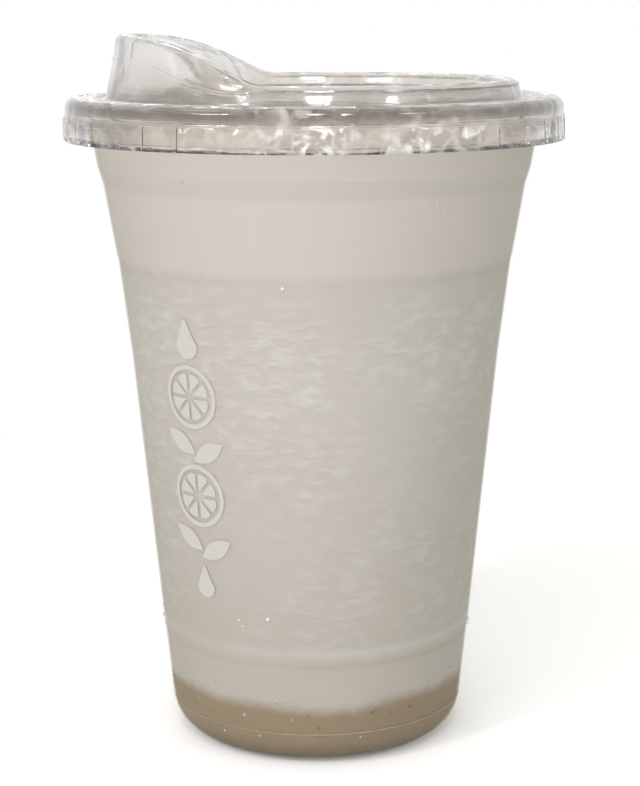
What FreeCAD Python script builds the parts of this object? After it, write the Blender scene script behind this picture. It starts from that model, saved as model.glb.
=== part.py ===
"""Frozen lemonade in a clear cold-drink cup with a clear sip lid.

The document holds four pieces: the cup, the layer of melted syrup at its
bottom, the slush above it and the lid that rests on the cup's rolled rim.
The frame: origin under the middle of the cup's foot, +Z up, the lid's spout
towards -X.  All lengths are millimetres.
"""
import FreeCAD, Part
import math
import os
import re
import Sketcher

# name, value, what it is
SIZES = [
    ("cup_height", 132.6, "foot to the top of the rolled rim"),
    ("wall", 0.45, "thickness of the cup's formed sheet"),
    ("rim_radius", 49.0, "outside of the rolled rim"),
    ("rim_width", 3.1, "from the wall's outside to the rim's outside"),
    ("roll_height", 3.1, "height of the rolled rim"),
    ("roll_round", 1.3, "outer corners of the rolled rim"),
    ("roll_gap", 0.8, "from the wall to the rolled edge"),
    ("collar_height", 15.2, "rim top down to the middle of the stacking shoulder"),
    ("shoulder_height", 3.6, "height of the stacking shoulder"),
    ("shoulder_width", 1.1, "how far the shoulder steps out"),
    ("shoulder_round", 1.6, "its two bends"),
    ("band_radius", 43.1, "outside, just under the shoulder"),
    ("band_height", 16.5, "shoulder down to the step"),
    ("step_height", 2.0, "height of the small step"),
    ("step_width", 0.45, "how far the step comes out"),
    ("body_radius", 40.35, "outside, just under the step"),
    ("waist_height", 20.5, "step down to the slight bend in the wall"),
    ("waist_radius", 37.95, "outside, at that bend"),
    ("heel_height", 22.8, "ground to the middle of the heel's step"),
    ("heel_step_height", 0.8, "height of the heel's step"),
    ("heel_step_width", 0.2, "how far the wall comes out above the heel"),
    ("heel_radius", 32.25, "outside, just under the heel's step"),
    ("base_radius", 30.0, "where the wall's line meets the ground"),
    ("base_round", 7.4, "bend between the wall and the foot"),
    ("floor", 0.6, "thickness of the base"),
    ("punt_height", 3.2, "how far the base is pushed up"),
    ("punt_slope", 2.6, "how far the pushed-up base's side leans"),
    ("stand_width", 2.0, "from the foot's bend in to the pushed-up base"),
    ("punt_round", 1.4, "bends of the pushed-up base"),
    ("fill_gap", 0.02, "between the drink and the wall"),
    ("syrup_level", 13.0, "top of the melted layer"),
    ("fill_depth", 8.4, "rim top down to the slush at the wall"),
    ("crown", 1.9, "rise of the slush to its middle"),
    ("crown_flat", 24.0, "radius of the slush's level middle"),
    ("crown_round", 60.0, "bend from the level middle to the edge"),
    ("lid_wall", 0.45, "thickness of the lid's formed sheet"),
    ("seat_gap", 0.1, "between the rim top and the lid"),
    ("rim_gap", 1.05, "between the rim and the lid's skirt"),
    ("skirt_depth", 8.5, "flange top down to the skirt's lower edge"),
    ("skirt_flare", 0.4, "how far the skirt opens towards its edge"),
    ("ledge_drop", 3.6, "flange top down to the skirt's ledge"),
    ("ledge_width", 0.2, "the ledge where the skirt's ribs begin"),
    ("flange_round", 2.6, "bend from the flange to the skirt"),
    ("flange_width", 4.4, "skirt to the flange's highest line"),
    ("seat_depth", 0.4, "groove between the flange and the raised ring"),
    ("seat_width", 1.3, "flat bottom of that groove"),
    ("rib_count", 40, "upright ribs round the skirt"),
    ("rib_width", 0.5, "one rib, along the skirt"),
    ("rib_proud", 0.18, "how far a rib stands out"),
    ("rib_margin", 0.5, "plain skirt above and below a rib"),
    ("ring_inset", 6.75, "rim radius to the foot of the raised ring"),
    ("ring_height", 3.3, "ring top above the flange"),
    ("ring_draft", 0.65, "how far the ring's wall leans in"),
    ("ring_bend", 1.25, "height of the ring's outer bend"),
    ("bead_width", 3.3, "width of the ring's rounded top"),
    ("deck_height", 0.25, "sunk deck above the flange"),
    ("deck_draft", 0.9, "how far the ring's inner wall leans out"),
    ("spout_rise", 9.0, "spout top above the ring"),
    ("spout_start", 11.3, "where the spout rises from the ring, left of the middle"),
    ("spout_full", 42.0, "where it is at its full height"),
    ("spout_knee", 0.1, "share of its climb that the soft start takes each way"),
    ("spout_draft", 1.05, "how much further the spout's wall leans in"),
    ("spout_soft", 0.35, "how much larger its outer bend is than the ring's"),
    ("crease_rise", 5.5, "spout's crease above its place on the ring"),
    ("crease_start", 16.0, "where the crease begins to rise"),
    ("crease_full", 37.0, "where the crease is highest"),
    ("flank_lean", 1.0, "extra lean of the spout's flanks above the crease"),
    ("ledge_run", 8.0, "level part behind the spout's edge"),
    ("ledge_fall", 1.3, "how far that part falls inward"),
    ("ramp_run", 14.5, "spout's edge back to the foot of its inner slope"),
    ("sip_length", 13.0, "sip hole, across the spout"),
    ("sip_width", 5.4, "sip hole, along the spout"),
    ("sip_inset", 7.0, "ring's bend back to the middle of the sip hole"),
    ("vent_radius", 1.0, "air hole in the deck"),
    ("vent_reach", 26.0, "air hole from the middle, away from the spout"),
]

doc = FreeCAD.newDocument("LemonadeSlush")
sheet = doc.addObject("Spreadsheet::Sheet", "Sizes")
for row, (alias, number, meaning) in enumerate(SIZES, 1):
    sheet.set("A%d" % row, meaning)
    sheet.set("B%d" % row, str(number))
    sheet.setAlias("B%d" % row, alias)
doc.recompute()

ALIASES = {alias for alias, number, meaning in SIZES}


def full(text):
    """An expression with each size's name given its sheet."""
    return re.sub(r"[a-z_]+", lambda m: "Sizes." + m[0] if m[0] in ALIASES else m[0], text)


def value(text):
    """The number that an expression of named sizes comes to."""
    return float(sheet.evalExpression(full(text)))


# --- sketched profiles ------------------------------------------------------

def origin_plane(body, role):
    return next(item for item in body.Origin.OriginFeatures if item.Role == role)


def bend(corner, before, after, radius):
    """Where an arc of this radius leaves the two sides of a corner, and its middle."""
    to_before = (before - corner).normalize()
    to_after = (after - corner).normalize()
    half = to_before.getAngle(to_after) / 2
    reach = radius / math.tan(half)
    middle = corner + (to_before + to_after).normalize() * (radius / math.sin(half))
    return corner + to_before * reach, corner + to_after * reach, middle


def hold(sketch, name, kind, geometry, point, text):
    """Holds one coordinate or radius of the sketch to an expression."""
    if text == "0":
        axis = -2 if kind == "DistanceX" else -1
        sketch.addConstraint(Sketcher.Constraint("PointOnObject", geometry, point, axis))
        return
    place = (geometry,) if point is None else (geometry, point)
    index = sketch.addConstraint(Sketcher.Constraint(kind, *place, value(text)))
    sketch.renameConstraint(index, name)
    sketch.setExpression("Constraints." + name, full(text))


def profile(body, name, corners):
    """A closed outline in the XZ plane from corners (radius, height[, bend radius])."""
    sketch = body.newObject("Sketcher::SketchObject", name)
    sketch.AttachmentSupport = [(origin_plane(body, "XZ_Plane"), "")]
    sketch.MapMode = "FlatFace"
    count = len(corners)
    places = [FreeCAD.Vector(value(corner[0]), value(corner[1]), 0) for corner in corners]
    ends = []
    for index, corner in enumerate(corners):
        place = places[index]
        if len(corner) == 2:
            ends.append((place, place, None))
            continue
        before, after = places[index - 1], places[(index + 1) % count]
        ends.append(bend(place, before, after, value(corner[2])))
    for index in range(count):
        start, stop = ends[index][1], ends[(index + 1) % count][0]
        sketch.addGeometry(Part.LineSegment(start, stop))
    for index, corner in enumerate(corners):
        line_in, line_out = (index - 1) % count, index
        across, up = "across_%d" % index, "up_%d" % index
        if len(corner) == 2:
            sketch.addConstraint(Sketcher.Constraint("Coincident", line_in, 2, line_out, 1))
            hold(sketch, across, "DistanceX", line_out, 1, corner[0])
            hold(sketch, up, "DistanceY", line_out, 1, corner[1])
            continue
        entry, leave, middle = ends[index]
        radius = value(corner[2])
        circle = Part.Circle(middle, FreeCAD.Vector(0, 0, 1), radius)
        left_turn = (places[index] - entry).cross(leave - places[index]).z > 0
        first, last = (entry, leave) if left_turn else (leave, entry)
        arc = sketch.addGeometry(
            Part.ArcOfCircle(circle, circle.parameter(first), circle.parameter(last)))
        point = sketch.addGeometry(Part.Point(places[index]), True)
        hold(sketch, across, "DistanceX", point, 1, corner[0])
        hold(sketch, up, "DistanceY", point, 1, corner[1])
        sketch.addConstraint(Sketcher.Constraint("PointOnObject", point, 1, line_in))
        sketch.addConstraint(Sketcher.Constraint("PointOnObject", point, 1, line_out))
        begin, end = (1, 2) if left_turn else (2, 1)
        sketch.addConstraint(Sketcher.Constraint("Tangent", line_in, 2, arc, begin))
        sketch.addConstraint(Sketcher.Constraint("Tangent", arc, end, line_out, 1))
        hold(sketch, "bend_%d" % index, "Radius", arc, None, corner[2])
    return sketch


def turned(body, name, corners, kind="Revolution"):
    """Turns an outline round the Z axis, as material or as a cut."""
    sketch = profile(body, name + "Outline", corners)
    feature = body.newObject("PartDesign::" + kind, name)
    feature.Profile = sketch
    feature.ReferenceAxis = (sketch, ["V_Axis"])
    feature.Angle = 360
    doc.recompute()
    return feature


def new_body(label):
    body = doc.addObject("PartDesign::Body", label)
    body.Label = label
    return body


# --- the cup ----------------------------------------------------------------

STEP = "cup_height - collar_height - band_height"
SHOULDER = "cup_height - collar_height"
PUNT_FOOT = "base_radius - base_round - stand_width"
PUNT_TOP = PUNT_FOOT + " - punt_slope"


def wall_line(inside):
    """The outside of the wall from the ground up to the roll; each bend suits its side."""
    lower, upper = "shoulder_round", "shoulder_round + wall"
    if inside:
        lower, upper = upper, lower
    return [
        ("base_radius", "0"),
        ("heel_radius", "heel_height - heel_step_height / 2"),
        ("heel_radius + heel_step_width", "heel_height + heel_step_height / 2"),
        ("waist_radius", STEP + " - waist_height"),
        ("body_radius", STEP + " - step_height / 2"),
        ("body_radius + step_width", STEP + " + step_height / 2"),
        ("band_radius", SHOULDER + " - shoulder_height / 2", lower),
        ("band_radius + shoulder_width", SHOULDER + " + shoulder_height / 2", upper),
        ("rim_radius - rim_width", "cup_height - roll_height"),
    ]


def inside_line(gap):
    """The cup's inner surface, from the middle of the base up to the roll."""
    inner = [(corner[0] + " - wall - " + gap,) + corner[1:] for corner in wall_line(True)]
    lift = "floor + " + gap
    inner[0] = (inner[0][0], lift, "base_round - wall")
    base = [
        ("0", "punt_height + " + lift),
        (PUNT_TOP, "punt_height + " + lift, "punt_round"),
        (PUNT_FOOT + " + wall", lift, "punt_round"),
    ]
    return base + inner


def build_cup():
    body = new_body("cup")
    outer = wall_line(False)
    outer[0] = ("base_radius", "0", "base_round")
    underside = [
        ("0", "punt_height"),
        (PUNT_TOP, "punt_height", "punt_round"),
        (PUNT_FOOT, "0", "punt_round"),
    ]
    roll_inside = [
        ("rim_radius - rim_width", "cup_height - wall", "roll_round - wall"),
        ("rim_radius - wall", "cup_height - wall", "roll_round - wall"),
        ("rim_radius - wall", "cup_height - roll_height + wall", "roll_round - wall"),
        ("rim_radius - rim_width + roll_gap", "cup_height - roll_height + wall"),
    ]
    roll_outside = [
        ("rim_radius - rim_width + roll_gap", "cup_height - roll_height"),
        ("rim_radius", "cup_height - roll_height", "roll_round"),
        ("rim_radius", "cup_height", "roll_round"),
        ("rim_radius - rim_width - wall", "cup_height", "roll_round"),
    ]
    inner = list(reversed(inside_line("0")))
    turned(body, "CupShell", underside + outer + roll_inside + roll_outside + inner)
    return body


# --- the drink --------------------------------------------------------------

FILL = "cup_height - fill_depth"
WIDE = "rim_radius + 5"
ABOVE = "cup_height + 5"


def filled_cup(body, name):
    """Everything the cup can hold, up to the roll."""
    line = inside_line("fill_gap")
    top = line[-1][1]
    return turned(body, name, line + [("0", top)])


def build_syrup():
    body = new_body("syrup")
    filled_cup(body, "SyrupFill")
    cut = [("0", "syrup_level"), (WIDE, "syrup_level"), (WIDE, ABOVE), ("0", ABOVE)]
    turned(body, "AboveSyrup", cut, "Groove")
    return body


def build_slush():
    body = new_body("slush")
    filled_cup(body, "SlushFill")
    below = [("0", "-5"), (WIDE, "-5"), (WIDE, "syrup_level"), ("0", "syrup_level")]
    turned(body, "BelowSlush", below, "Groove")
    crown = [
        ("0", FILL + " + crown"),
        ("crown_flat", FILL + " + crown", "crown_round"),
        (WIDE, FILL),
        (WIDE, ABOVE),
        ("0", ABOVE),
    ]
    turned(body, "AboveSlush", crown, "Groove")
    return body


# --- the lid ----------------------------------------------------------------

FLANGE = "cup_height + seat_gap + lid_wall"
SKIRT = "rim_radius + rim_gap + lid_wall"
RING = "rim_radius - ring_inset"


def flange_line(inset):
    """The skirt and flange from the lower edge in to the ring's foot."""
    return [
        (SKIRT + " + skirt_flare - " + inset, FLANGE + " - ledge_drop"),
        (SKIRT + " + skirt_flare - ledge_width - " + inset, FLANGE + " - ledge_drop + 0.6"),
        (SKIRT + " - " + inset, FLANGE + " - " + inset, "flange_round - " + inset),
        (SKIRT + " - flange_width", FLANGE + " - " + inset),
        (RING + " + seat_width", FLANGE + " - seat_depth - " + inset),
        (RING + " - " + inset, FLANGE + " - seat_depth - " + inset),
        ("0", FLANGE + " - seat_depth - " + inset),
    ]


def flange_body(label, inset, edge):
    """The solid inside the skirt and under the flange, down to a level."""
    body = new_body(label)
    lower = [("0", edge), (SKIRT + " + skirt_flare - " + inset, edge)]
    turned(body, label + "Form", lower + flange_line(inset))
    return body


def add_ribs(body):
    """Upright ribs all round the skirt, standing a little proud of it."""
    foot = FLANGE + " - skirt_depth + rib_margin"
    head = FLANGE + " - ledge_drop - rib_margin"
    out = SKIRT + " + skirt_flare"
    rib = profile(body, "RibOutline", [
        (out + " - lid_wall / 2", foot),
        (out + " + rib_proud", foot),
        (out + " + rib_proud", head),
        (out + " - lid_wall / 2", head),
    ])
    pad = body.newObject("PartDesign::Pad", "Rib")
    pad.Profile = rib
    pad.SideType = "Symmetric"
    pad.setExpression("Length", full("rib_width"))
    doc.recompute()
    pattern = body.newObject("PartDesign::PolarPattern", "Ribs")
    pattern.Originals = [pad]
    pattern.Axis = (origin_plane(body, "Z_Axis"), [""])
    pattern.Angle = 360
    pattern.setExpression("Occurrences", full("rib_count"))
    body.Tip = pattern
    doc.recompute()


def eased(start, stop, place):
    """0 before start, 1 after stop, and a half cosine wave between them."""
    share = min(max((place - start) / (stop - start), 0), 1)
    return (1 - math.cos(math.pi * share)) / 2


def climbing(start, stop, knee, place):
    """0 before start and 1 after stop: a quarter sine wave from a soft knee."""
    share = (place - start) / (stop - start)
    if abs(share) < knee:
        share = (share + knee) ** 2 / (4 * knee)
    return math.sin(math.pi / 2 * min(max(share, 0), 1))


def ring_section(turn):
    """The raised ring's outline at an angle from the spout: (radius, height) points.

    Round the back it is a low rounded ring.  Towards the spout the same points
    climb: the bead to the spout's edge, the bend's foot to the flank's crease,
    and the inner wall stretches into a level part and a slope down to the deck.
    """
    size = sheet
    flange = value(FLANGE)
    foot = value(RING)
    left = foot * math.cos(turn)
    rise = climbing(size.spout_start, size.spout_full, size.spout_knee, left)
    crease = eased(size.crease_start, size.crease_full, left)
    sideways = eased(size.crease_start, size.crease_full, foot - abs(foot * math.sin(turn)))
    lean = size.flank_lean * 4 * crease * (1 - crease) * (1 - sideways)
    top = flange + size.ring_height + size.spout_rise * rise
    bend_foot = flange + size.ring_height - size.ring_bend + size.crease_rise * crease
    outer = foot - size.ring_draft - size.spout_draft * rise
    bend = size.ring_bend + size.spout_soft * rise
    edge = outer - bend - lean
    inner = edge - size.bead_width + size.ring_bend
    deck = flange + size.deck_height
    fall = 0.8 + (size.ledge_fall - 0.8) * rise
    return [
        (foot, flange - size.seat_depth - 0.2),
        (outer, bend_foot),
        (edge + 0.62 * bend, top - 0.62 * bend),
        (edge + 0.2 * bend, top - 0.12 * bend),
        (edge - 0.4, top),
        (inner + 0.6, top - 0.15),
        (inner, top - 0.7),
        (inner - 0.2 - size.ledge_run * rise, top - fall - 0.3),
        (inner - size.deck_draft - size.ramp_run * rise, deck),
    ]


def inset_points(points, wall):
    """The outline moved to the sheet's other side, mitred, with its foot kept level."""
    foot = points[0]
    line = points + [(points[-1][0] - 1, points[-1][1])]
    moved = [(foot[0] - wall, foot[1] - wall)]
    for before, here, after in zip(line, line[1:], line[2:]):
        first = unit_normal(before, here)
        second = unit_normal(here, after)
        share = wall / (1 + first[0] * second[0] + first[1] * second[1])
        shift = ((first[0] + second[0]) * share, (first[1] + second[1]) * share)
        moved.append((here[0] - shift[0], here[1] - shift[1]))
    return moved


def unit_normal(start, stop):
    """The outward normal of a side that climbs the ring and goes inward."""
    across, up = stop[0] - start[0], stop[1] - start[1]
    length = math.hypot(across, up)
    return up / length, -across / length


def ring_form(label, wall):
    """The raised ring and spout, lofted through closed curves round the axis."""
    around = 72
    sections = []
    for step in range(around):
        turn = 2 * math.pi * step / around - math.pi
        section = ring_section(turn)
        if wall:
            section = inset_points(section, wall)
        sections.append((turn, section))
    rings = []
    for level in range(len(sections[0][1])):
        points = [FreeCAD.Vector(-section[level][0] * math.cos(turn),
                                 section[level][0] * math.sin(turn),
                                 section[level][1])
                  for turn, section in sections]
        curve = Part.BSplineCurve()
        curve.interpolate(Points=points, PeriodicFlag=True)
        rings.append(Part.Wire([curve.toShape()]))
    feature = doc.addObject("Part::Feature", label)
    feature.Shape = Part.makeLoft(rings, True, True)
    return feature


def upright_hole(label, radius, place, across):
    """A round cutter through the lid; two of them and a box make a slot."""
    cutter = doc.addObject("Part::Cylinder", label)
    cutter.setExpression("Radius", full(radius))
    cutter.setExpression("Height", full("cup_height"))
    cutter.setExpression("Placement.Base.x", full(place))
    cutter.setExpression("Placement.Base.y", full(across))
    cutter.setExpression("Placement.Base.z", full(FLANGE + " - 2"))
    return cutter


def lid_cutters():
    """The sip hole in the spout and the air hole in the deck."""
    middle = RING + " - ring_draft - spout_draft - spout_soft - sip_inset"
    half = "(sip_length - sip_width) / 2"
    slot = doc.addObject("Part::Box", "SipMiddle")
    slot.setExpression("Length", full("sip_width"))
    slot.setExpression("Width", full("sip_length - sip_width"))
    slot.setExpression("Height", full("cup_height"))
    slot.setExpression("Placement.Base.x", full("-(" + middle + ") - sip_width / 2"))
    slot.setExpression("Placement.Base.y", full("-" + half))
    slot.setExpression("Placement.Base.z", full(FLANGE + " - 2"))
    near = upright_hole("SipNear", "sip_width / 2", "-(" + middle + ")", "-" + half)
    far = upright_hole("SipFar", "sip_width / 2", "-(" + middle + ")", half)
    vent = upright_hole("Vent", "vent_radius", "vent_reach", "0")
    return [slot, near, far, vent]


def fused(label, parts):
    joined = doc.addObject("Part::MultiFuse", label)
    joined.Shapes = parts
    return joined


def build_lid():
    edge = FLANGE + " - skirt_depth"
    form = flange_body("LidOutside", "0", edge)
    add_ribs(form)
    hollow = flange_body("LidInside", "lid_wall", edge + " - 1")
    outside = fused("LidForm", [form, ring_form("RingOutside", 0)])
    inside = fused("LidHollow", [hollow, ring_form("RingInside", sheet.lid_wall)])
    holes = fused("LidHoles", lid_cutters())
    shell = doc.addObject("Part::Cut", "LidShell")
    shell.Base = outside
    shell.Tool = inside
    lid = doc.addObject("Part::Cut", "LidCut")
    lid.Base = shell
    lid.Tool = holes
    lid.Label = "lid"
    doc.recompute()
    return lid


# --- build, check and write -------------------------------------------------

pieces = [build_cup(), build_syrup(), build_slush(), build_lid()]
doc.recompute()

for item in doc.Objects:
    if "Invalid" in item.State or "Error" in item.State:
        raise RuntimeError("%s did not build" % item.Label)

os.makedirs("parts", exist_ok=True)
for piece in pieces:
    shape = piece.Shape
    if shape.isNull() or not shape.isValid() or len(shape.Solids) != 1:
        raise RuntimeError("%s isn't one valid solid" % piece.Label)
    shape.exportStep("parts/%s.step" % piece.Label)
    print(piece.Label, "%.2f cm3" % (shape.Volume / 1000), shape.BoundBox)
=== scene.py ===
# %% [markdown]
# # A lemonade slush in a clear cup with a sip lid
#
# The cup and the lid are thin formed plastic, so most of what shows is what
# lies behind them: pale crushed ice, and a tan layer of melted syrup at the
# bottom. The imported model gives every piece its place. This lesson turns each
# piece again with finer bends, then gives it a finish.

import math
import random

import bmesh
import bpy
from mathutils import Euler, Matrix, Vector


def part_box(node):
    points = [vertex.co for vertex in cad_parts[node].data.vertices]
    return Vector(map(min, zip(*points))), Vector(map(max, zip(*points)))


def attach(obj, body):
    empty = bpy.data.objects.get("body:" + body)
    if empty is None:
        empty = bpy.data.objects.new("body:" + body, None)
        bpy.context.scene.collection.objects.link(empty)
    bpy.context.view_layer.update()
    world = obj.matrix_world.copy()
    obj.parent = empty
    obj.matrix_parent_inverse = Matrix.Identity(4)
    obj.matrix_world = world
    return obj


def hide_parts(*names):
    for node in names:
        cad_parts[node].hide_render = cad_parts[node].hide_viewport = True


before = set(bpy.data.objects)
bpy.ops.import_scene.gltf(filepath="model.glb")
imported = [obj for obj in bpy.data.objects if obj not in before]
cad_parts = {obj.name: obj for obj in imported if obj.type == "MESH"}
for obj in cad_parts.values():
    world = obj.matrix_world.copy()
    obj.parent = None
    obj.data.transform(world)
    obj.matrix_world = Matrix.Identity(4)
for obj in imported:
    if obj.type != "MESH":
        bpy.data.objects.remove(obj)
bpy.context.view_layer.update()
MM = 0.001
cup_low, cup_high = (Vector(corner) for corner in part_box("cup"))
lid_low, lid_high = (Vector(corner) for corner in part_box("lid"))
slush_low, slush_high = (Vector(corner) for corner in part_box("slush"))
cup_height = cup_high.z
print("cup", tuple(round(v / MM, 1) for v in cup_high - cup_low))
print("lid", tuple(round(v / MM, 1) for v in lid_high - lid_low))

# %% [markdown]
# ## The camera
#
# A long lens a short way off, a little above the lid and tilted down, sees the
# front of the cup and the ellipse of the lid together.

# %% Camera
tilt_down = math.radians(11.22)
lean_right = math.radians(0.2)
camera_data = bpy.data.cameras.new("Camera")
camera_data.sensor_width = 36.0
camera_data.lens = 89.04
camera = bpy.data.objects.new("Camera", camera_data)
bpy.context.scene.collection.objects.link(camera)
camera.location = (1.25 * MM, -400 * MM, 150.6 * MM)
camera.rotation_euler = Euler((math.pi / 2 - tilt_down, lean_right, 0), "XYZ")
bpy.context.scene.camera = camera
bpy.context.scene.view_settings.view_transform = "Standard"
print("camera at", tuple(round(v / MM) for v in camera.location), "mm")

# %% [markdown]
# ## Node helpers
#
# Every finish is a small tree of shader nodes, and the same few steps come
# back in each tree. So each step is a helper that adds one node, joins what
# goes in and hands on what comes out: a point on the piece, noise, arithmetic,
# a change from one number to another, a blend of two colours, a surface.


# %% Add nodes
def add_node(tree, kind, inputs=None, **settings):
    node = tree.nodes.new(kind)
    for name, setting in settings.items():
        setattr(node, name, setting)
    for key, given in (inputs or {}).items():
        if isinstance(given, bpy.types.NodeSocket):
            tree.links.new(given, node.inputs[key])
        else:
            node.inputs[key].default_value = given
    return node


def new_material(name):
    material = bpy.data.materials.new(name)
    material.use_nodes = True
    material.node_tree.nodes.clear()
    return material, material.node_tree


def finish_tree(tree, shader):
    add_node(tree, "ShaderNodeOutputMaterial", {"Surface": shader})


print("trees can be made")


# %% Numbers
def own_point(tree):
    """The shaded point in the piece's own coordinates."""
    return add_node(tree, "ShaderNodeTexCoord").outputs["Object"]


def height_of(tree, point):
    return add_node(tree, "ShaderNodeSeparateXYZ", {"Vector": point}).outputs["Z"]


def noise_at(tree, point, scale, detail=2.0, roughness=0.5, distortion=0.0):
    return add_node(tree, "ShaderNodeTexNoise",
                    {"Vector": point, "Scale": scale, "Detail": detail,
                     "Roughness": roughness, "Distortion": distortion}).outputs["Fac"]


def maths(tree, operation, *terms, clamp=False):
    """One step of arithmetic, such as a product, on numbers and sockets."""
    return add_node(tree, "ShaderNodeMath", dict(enumerate(terms)),
                    operation=operation, use_clamp=clamp).outputs[0]


def ramp(tree, given, low, high, start=0.0, stop=1.0, curve="SMOOTHSTEP"):
    """Goes from start to stop while the given number goes from low to high."""
    return add_node(tree, "ShaderNodeMapRange",
                    {"Value": given, "From Min": low, "From Max": high,
                     "To Min": start, "To Max": stop},
                    interpolation_type=curve).outputs[0]


def band_share(tree, height, low, high, soft, top_soft=None):
    """1 between two heights and 0 outside, with soft ends."""
    top_soft = top_soft or soft
    rising = ramp(tree, height, low - soft, low + soft)
    falling = ramp(tree, height, high - top_soft, high + top_soft, 1.0, 0.0)
    return maths(tree, "MULTIPLY", rising, falling)


def ray_kinds(tree):
    """1 for rays from the camera, off a gloss or through glass; else 0."""
    path = add_node(tree, "ShaderNodeLightPath")
    seen = maths(tree, "ADD", path.outputs["Is Camera Ray"],
                 path.outputs["Is Glossy Ray"], clamp=True)
    return maths(tree, "ADD", seen, path.outputs["Is Transmission Ray"], clamp=True)


print("numbers can be worked out")


# %% Colours and surfaces
def rgba(colour):
    """A colour's socket as it is, or three numbers with a full alpha."""
    return colour if isinstance(colour, bpy.types.NodeSocket) else (*colour, 1)


def darker(colour, share):
    return tuple(part * share for part in colour)


def blend(tree, share, under, over):
    """The colour under, covered as far as share says by the colour over."""
    return add_node(tree, "ShaderNodeMix", {0: share, 6: rgba(under), 7: rgba(over)},
                    data_type="RGBA").outputs[2]


def relief(tree, height, distance, strength=1.0, under=None):
    """The normals of a surface raised by a height, on top of other relief."""
    inputs = {"Height": height, "Strength": strength, "Distance": distance}
    if under is not None:
        inputs["Normal"] = under
    return add_node(tree, "ShaderNodeBump", inputs).outputs[0]


def surface(tree, colour, roughness, others=None):
    """The shader for most surfaces, with its other sockets by name."""
    return add_node(tree, "ShaderNodeBsdfPrincipled",
                    {"Base Color": rgba(colour), "Roughness": roughness,
                     **(others or {})}).outputs[0]


def see_through(tree, colour):
    return add_node(tree, "ShaderNodeBsdfTransparent", {"Color": rgba(colour)}).outputs[0]


def glow(tree, colour, strength, kind="ShaderNodeEmission"):
    return add_node(tree, kind, {"Color": rgba(colour), "Strength": strength}).outputs[0]


def mix_shaders(tree, share, first, second):
    return add_node(tree, "ShaderNodeMixShader",
                    {0: share, 1: first, 2: second}).outputs[0]


print("surfaces can be mixed")

# %% [markdown]
# ## The stage
#
# A white sheet on the table and behind it. White that only the camera, the
# gloss and the clear plastic see can't spill light on the cup, and the sheet
# still takes the cup's soft shadow. Near the cup the sheet is bright paper,
# which shows that shadow, and further out it fades to plain white.

# %% World
white = (1, 1, 1)
world = bpy.data.worlds.new("Studio")
world.use_nodes = True
world_tree = world.node_tree
world_tree.nodes.clear()
plain_light = glow(world_tree, (0.985, 1.0, 0.935), 0.78, "ShaderNodeBackground")
white_wall = glow(world_tree, white, 1.0, "ShaderNodeBackground")
world_seen = mix_shaders(world_tree, ray_kinds(world_tree), plain_light, white_wall)
add_node(world_tree, "ShaderNodeOutputWorld", {"Surface": world_seen})
bpy.context.scene.world = world
print("world lit")


# %% Floor
def new_piece(name, bm, material=None):
    """Writes the bmesh to a new object."""
    mesh = bpy.data.meshes.new(name)
    bm.to_mesh(mesh)
    bm.free()
    if material:
        mesh.materials.append(material)
    piece = bpy.data.objects.new(name, mesh)
    bpy.context.scene.collection.objects.link(piece)
    return piece


fade_start, fade_end = 90 * MM, 300 * MM
floor_half = 900 * MM
floor_material, tree = new_material("white sheet")
paper = add_node(tree, "ShaderNodeBsdfDiffuse", {"Color": (0.5, 0.5, 0.49, 1)})
bright_paper = add_node(tree, "ShaderNodeBsdfDiffuse", {"Color": (0.88, 0.88, 0.89, 1)})
near_glow = add_node(tree, "ShaderNodeAddShader",
                     {0: bright_paper.outputs[0], 1: glow(tree, white, 0.17)})
reach = add_node(tree, "ShaderNodeVectorMath", {0: own_point(tree)}, operation="LENGTH")
far_share = ramp(tree, reach.outputs["Value"], fade_start, fade_end)
sheet_seen = mix_shaders(tree, far_share, near_glow.outputs[0], glow(tree, white, 1.0))
finish_tree(tree, mix_shaders(tree, ray_kinds(tree), paper.outputs[0], sheet_seen))

bm = bmesh.new()
bmesh.ops.create_grid(bm, x_segments=1, y_segments=1, size=floor_half)
piece = new_piece("floor", bm, floor_material)
print("stage set")

# %% [markdown]
# ## The light
#
# A very large soft lamp over the camera's left shoulder lights the front and
# lets the right side fall off, as a window does. Small bright lamps stand for
# the room's ceiling lights: they share the rest of the level, strongest on the
# left, and glint on the bends of the plastic. The large lamp stays out of
# those reflections.

# %% Lamps
aim_point = Vector((0, 0, 90 * MM))


def soft_lamp(name, place, size, power, colour, glints=False):
    data = bpy.data.lights.new(name, "AREA")
    data.shape = "DISK"
    data.size = size
    data.energy = power
    data.color = colour
    lamp = bpy.data.objects.new(name, data)
    lamp.location = place
    aim = aim_point - Vector(place)
    lamp.rotation_euler = aim.to_track_quat("-Z", "Y").to_euler()
    lamp.visible_glossy = glints
    lamp.visible_transmission = False
    bpy.context.scene.collection.objects.link(lamp)


soft_lamp("window", (-0.30, -0.72, 0.76), size=0.9, power=4.0,
          colour=(1.0, 0.935, 0.985))
ceiling = [((-0.52, -0.56, 0.62), 1.45), ((0.02, -0.74, 0.74), 0.95),
           ((0.56, -0.52, 0.62), 0.4), ((-0.15, 0.6, 0.8), 0.5)]
for number, (place, power) in enumerate(ceiling):
    soft_lamp("ceiling_light_%d" % number, place, size=0.09, power=power,
              colour=(1.0, 0.96, 0.975), glints=True)

# %% [markdown]
# ## Turned pieces
#
# The cup and what fills it are round, so each is an outline spun round the
# upright axis. An outline is a list of corners, and a corner may have a bend:
# bmesh bevels that vertex, and the outline then spins through a full turn.


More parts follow.
